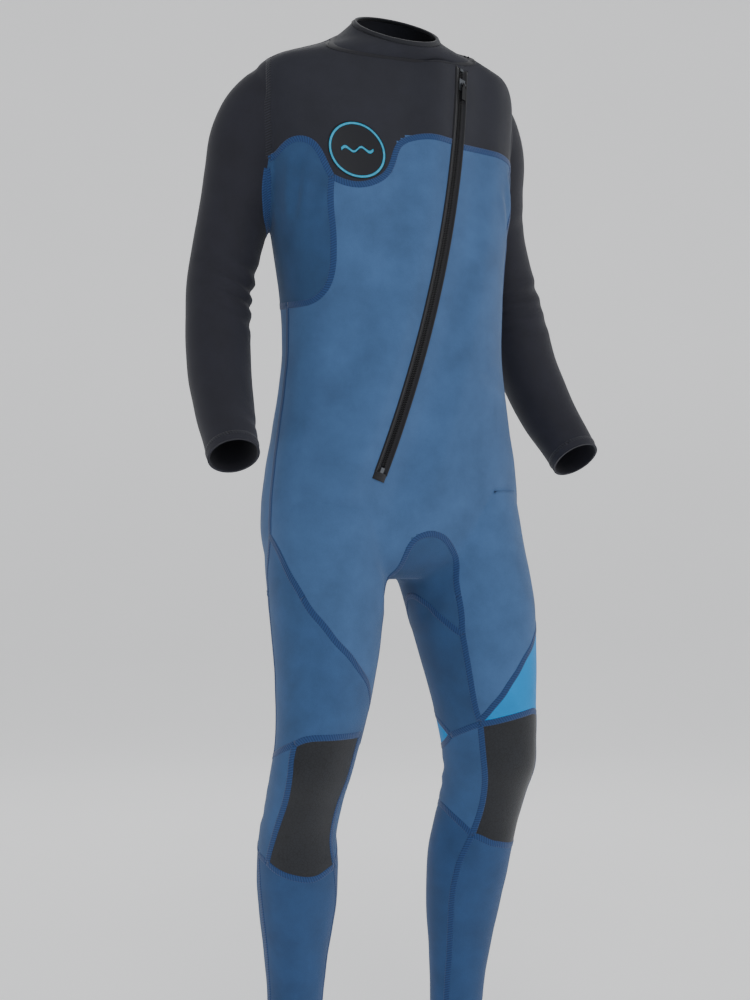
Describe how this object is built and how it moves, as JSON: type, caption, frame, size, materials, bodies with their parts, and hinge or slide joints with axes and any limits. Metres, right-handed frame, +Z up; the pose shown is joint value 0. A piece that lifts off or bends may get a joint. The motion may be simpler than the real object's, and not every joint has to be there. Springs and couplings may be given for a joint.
{
  "type": "full wetsuit",
  "caption": "Full-length neoprene wetsuit with long sleeves and legs, a front zip with a sliding puller, a low collar, knee pads and bending elbows and knees.",
  "frame": {"origin": "middle of the neck opening, level with the shoulder line", "axes": "+X to the wearer's left, -Y out of the chest and +Z up along the body"},
  "size_m": [0.604, 0.2431, 1.4737],
  "materials": {
    "black_smooth": "matt knitted neoprene, near black with a cool cast",
    "sleeve_knit": "matt knitted neoprene, near black",
    "collar_knit": "matt knitted neoprene with a bound edge",
    "blue_knit": "knitted neoprene, mid denim blue",
    "thigh_knit": "knitted neoprene, mid blue",
    "blue_dark_knit": "knitted neoprene, darker blue",
    "calf_knit": "knitted neoprene, darker blue",
    "side_knit": "stretch knitted neoprene, dark blue",
    "underarm_knit": "stretch knitted neoprene, blue",
    "accent_cyan": "knitted neoprene, bright cyan",
    "knee_print": "printed abrasion-resistant rubber, satin black",
    "zip_fabric": "woven zip tape and neoprene flap, black",
    "zip_plastic": "moulded zip teeth, black",
    "zip_metal": "coated metal, dark grey",
    "zip_pull": "moulded pull, black",
    "badge_black": "printed patch, black",
    "badge_cyan": "printed patch, cyan"
  },
  "bodies": {
    "suit": {"collar": "collar_knit", "collar_binding": "collar_knit", "zip_flap": "zip_fabric", "zip_tape_right": "zip_fabric", "zip_teeth_right": "zip_plastic", "zip_tape_left": "zip_fabric", "zip_teeth_left": "zip_plastic", "zip_bottom_stop": "zip_plastic", "zip_top_stop": "zip_metal", "sleeve_upper_right": "sleeve_knit", "underarm_gusset_right": "underarm_knit", "elbow_right": "sleeve_knit", "sleeve_upper_left": "sleeve_knit", "underarm_gusset_left": "underarm_knit", "elbow_left": "sleeve_knit", "yoke_front_right": "black_smooth", "yoke_front_left": "black_smooth", "yoke_back": "black_smooth", "front_body": "blue_knit", "back_body": "blue_knit", "side_panel_right": "side_knit", "side_panel_left": "side_knit", "crotch_gusset": "blue_dark_knit", "thigh_front_right": "thigh_knit", "accent_wedge_left": "accent_cyan", "inner_thigh_right": "blue_dark_knit", "thigh_back_right": "thigh_knit", "knee_pad_right": "knee_print", "knee_back_right": "thigh_knit", "inner_thigh_left": "blue_dark_knit", "thigh_back_left": "thigh_knit", "knee_pad_left": "knee_print", "knee_back_left": "thigh_knit", "badge_disc": "badge_black", "badge_ring": "badge_cyan", "badge_wave": "badge_cyan"},
    "slider": {"slider_body": "zip_metal"},
    "pull": {"pull_tab": "zip_pull"},
    "forearm_right": {"forearm_right": "sleeve_knit", "wrist_cuff_right": "sleeve_knit"},
    "calf_right": {"calf_front_right": "calf_knit", "calf_back_right": "calf_knit", "ankle_cuff_right_front": "calf_knit", "ankle_cuff_right_back": "calf_knit"},
    "forearm_left": {"forearm_left": "sleeve_knit", "wrist_cuff_left": "sleeve_knit"},
    "calf_left": {"calf_front_left": "calf_knit", "calf_back_left": "calf_knit", "ankle_cuff_left_front": "calf_knit", "ankle_cuff_left_back": "calf_knit"}
  },
  "joints": [
    {"name": "zip_travel", "type": "hinge", "parent": "suit", "child": "slider", "pos_m": [-0.29425, 1.07798, -0.32117], "axis": [0.9298, 0.2338, -0.2843], "range_deg": [0, 25]},
    {"name": "pull_swing", "type": "hinge", "parent": "slider", "child": "pull", "pos_m": [0.0774, -0.06599, -0.04641], "axis": [-0.9298, -0.2338, 0.2843], "range_deg": [0, 165]},
    {"name": "elbow_right", "type": "hinge", "parent": "suit", "child": "forearm_right", "pos_m": [-0.2305, 0.06, -0.3242], "axis": [-1, 0, 0], "range_deg": [-15, 95], "stiffness_Nm_per_rad": 1.5, "deforming": ["elbow_right"]},
    {"name": "knee_right", "type": "hinge", "parent": "suit", "child": "calf_right", "pos_m": [-0.142, -0.022, -1], "axis": [1, 0, 0], "range_deg": [-5, 80], "stiffness_Nm_per_rad": 3, "deforming": ["knee_pad_right", "knee_back_right"]},
    {"name": "elbow_left", "type": "hinge", "parent": "suit", "child": "forearm_left", "pos_m": [0.2305, 0.06, -0.3242], "axis": [-1, 0, 0], "range_deg": [-15, 95], "stiffness_Nm_per_rad": 1.5, "deforming": ["elbow_left"]},
    {"name": "knee_left", "type": "hinge", "parent": "suit", "child": "calf_left", "pos_m": [0.142, -0.022, -1], "axis": [1, 0, 0], "range_deg": [-5, 80], "stiffness_Nm_per_rad": 3, "deforming": ["knee_pad_left", "knee_back_left"]}
  ]
}
